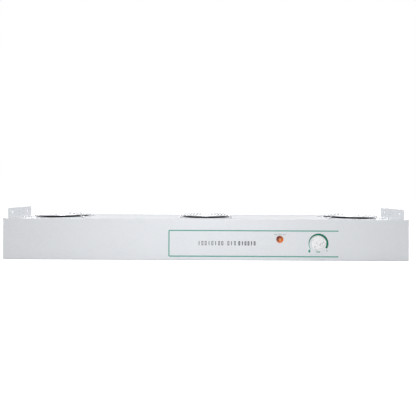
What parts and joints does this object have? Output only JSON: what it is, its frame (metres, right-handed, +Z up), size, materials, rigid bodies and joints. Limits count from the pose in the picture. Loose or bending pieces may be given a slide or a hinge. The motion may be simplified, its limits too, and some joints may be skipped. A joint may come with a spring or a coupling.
{
  "type": "ionizing air blower",
  "caption": "Long sheet-metal housing that hangs over a bench and blows ionized air down through axial fans, with wire guards, end brackets, a speed knob and a pilot lamp.",
  "frame": {"origin": "centre of the housing's flat underside", "axes": "+X along the housing to the right as seen from the front, -Y towards the front with the knob, +Z up; air flows down"},
  "size_m": [1.1124, 0.198, 0.1388],
  "materials": {
    "white_enamel": "satin powder coat with a slight orange peel",
    "chrome_wire": "bright plated wire",
    "zinc_plate": "bright zinc",
    "black_casting": "matte black on a die casting",
    "steel_laminations": "varnished laminations and copper",
    "black_impeller": "moulded, matte",
    "duct_plastic": "moulded insulating plastic",
    "needle_steel": "polished, sharp point",
    "red_silicone": "soft silicone sleeve",
    "potting_black": "potted block",
    "board_green": "solder mask",
    "brass": "plain brass",
    "terminal_green": "moulded",
    "aluminium_sink": "extruded",
    "transformer_grey": "taped winding",
    "pot_can": "stamped can",
    "knob_white": "moulded, satin",
    "lamp_black": "moulded",
    "lamp_orange": "clear tinted lens",
    "inlet_black": "moulded",
    "fuse_glass": "glass tube with end caps",
    "lead_grey": "soft sleeve"
  },
  "bodies": {
    "housing": {"top_panel": "white_enamel", "front_cover": "white_enamel", "rear_cover": "white_enamel", "bottom_plate": "white_enamel", "end_plate_left": "white_enamel", "end_plate_right": "white_enamel", "end_screws": "zinc_plate", "cover_screws": "white_enamel", "bracket_left": "white_enamel", "bracket_right": "white_enamel", "bracket_screws": "zinc_plate", "inlet_guard_left": "chrome_wire", "inlet_guard_centre": "chrome_wire", "inlet_guard_right": "chrome_wire", "guard_screws": "zinc_plate", "guard_nuts": "zinc_plate", "fan_frame_left": "black_casting", "fan_frame_centre": "black_casting", "fan_frame_right": "black_casting", "fan_stator_left": "steel_laminations", "fan_stator_centre": "steel_laminations", "fan_stator_right": "steel_laminations", "fan_bearings": "zinc_plate", "ion_duct_left": "duct_plastic", "ion_duct_centre": "duct_plastic", "ion_duct_right": "duct_plastic", "emitter_needles": "needle_steel", "hv_ring_leads": "red_silicone", "outlet_guard_left": "chrome_wire", "outlet_guard_centre": "chrome_wire", "outlet_guard_right": "chrome_wire", "duct_screws": "zinc_plate", "hv_supply": "potting_black", "hv_supply_screws": "zinc_plate", "hv_leads": "red_silicone", "control_board": "board_green", "board_standoffs": "brass", "board_screws": "zinc_plate", "terminal_block": "terminal_green", "heat_sink": "aluminium_sink", "board_transformer": "transformer_grey", "potentiometer": "pot_can", "pot_nut": "zinc_plate", "lamp_holder": "lamp_black", "lamp_nut": "zinc_plate", "lamp_lens": "lamp_orange", "mains_inlet": "inlet_black", "inlet_screws": "zinc_plate", "earth_terminal": "brass", "mains_leads": "lead_grey"},
    "fan_left": {"impeller_left": "black_impeller", "fan_shaft_left": "zinc_plate"},
    "fan_centre": {"impeller_centre": "black_impeller", "fan_shaft_centre": "zinc_plate"},
    "fan_right": {"impeller_right": "black_impeller", "fan_shaft_right": "zinc_plate"},
    "speed_control": {"speed_knob": "knob_white", "pot_shaft": "zinc_plate"},
    "fuse_tray": {"fuse_drawer": "inlet_black", "fuse": "fuse_glass"}
  },
  "joints": [
    {"name": "fan_left_spin", "type": "hinge", "parent": "housing", "child": "fan_left", "pos_m": [-0.426, 0, 0.09], "axis": [0, 0, 1], "continuous": true},
    {"name": "fan_centre_spin", "type": "hinge", "parent": "housing", "child": "fan_centre", "pos_m": [0, 0, 0.09], "axis": [0, 0, 1], "continuous": true},
    {"name": "fan_right_spin", "type": "hinge", "parent": "housing", "child": "fan_right", "pos_m": [0.426, 0, 0.09], "axis": [0, 0, 1], "continuous": true},
    {"name": "speed_turn", "type": "hinge", "parent": "housing", "child": "speed_control", "pos_m": [0.305, -0.09, 0.047], "axis": [0, -1, 0], "range_deg": [-87, 183]},
    {"name": "fuse_drawer_slide", "type": "slide", "parent": "housing", "child": "fuse_tray", "axis": [1, 0, 0], "range_m": [0, 0.02]}
  ]
}
